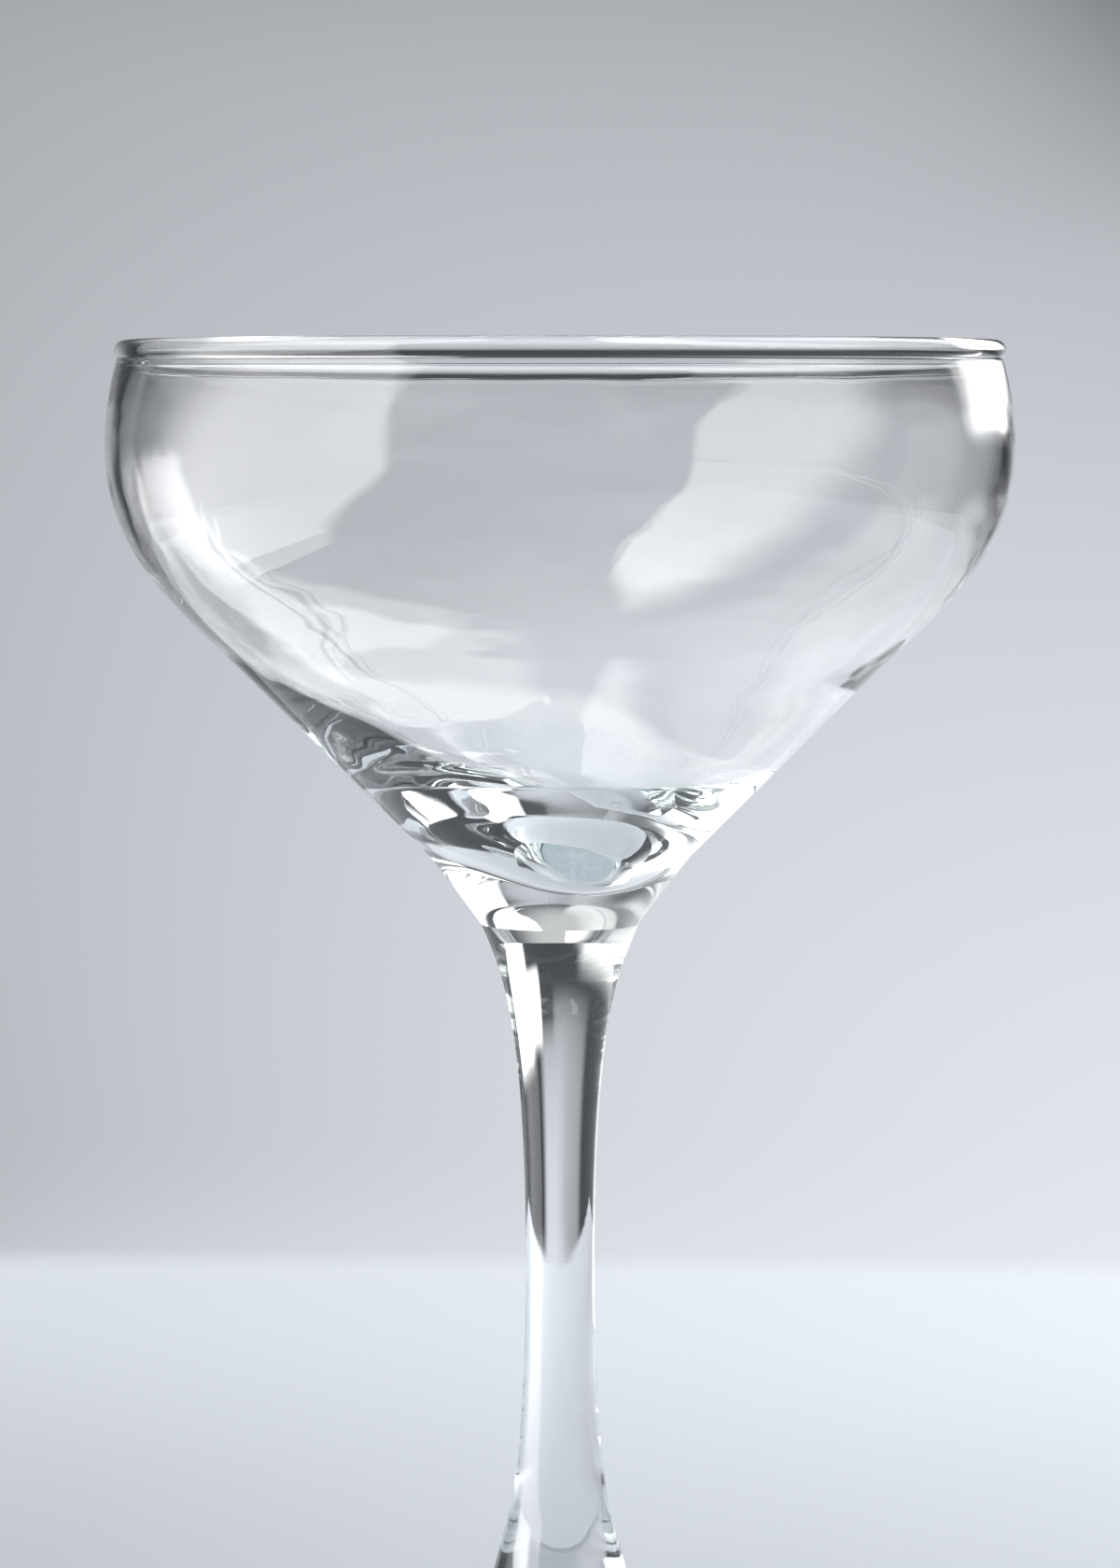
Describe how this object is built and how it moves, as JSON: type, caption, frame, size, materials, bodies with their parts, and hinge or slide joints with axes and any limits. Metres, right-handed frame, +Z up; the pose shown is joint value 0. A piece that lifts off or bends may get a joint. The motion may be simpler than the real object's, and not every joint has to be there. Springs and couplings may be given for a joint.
{
  "type": "cocktail glass",
  "caption": "Clear coupe cocktail glass: a wide thin-walled bowl with a beaded rim and conical base, on a slim solid waisted stem and a round trumpet foot.",
  "frame": {"origin": "on the table under the foot, at the glass's own axis", "axes": "+Z up the stem towards the rim; X and Y are alike, because the glass is a body of revolution"},
  "size_m": [0.1, 0.1, 0.155],
  "materials": {
    "clear_glass": "fire-polished, clear, with a faint grey-green tint where it is thick"
  },
  "bodies": {
    "root": {"bowl": "clear_glass", "stem": "clear_glass", "foot": "clear_glass"}
  },
  "joints": []
}
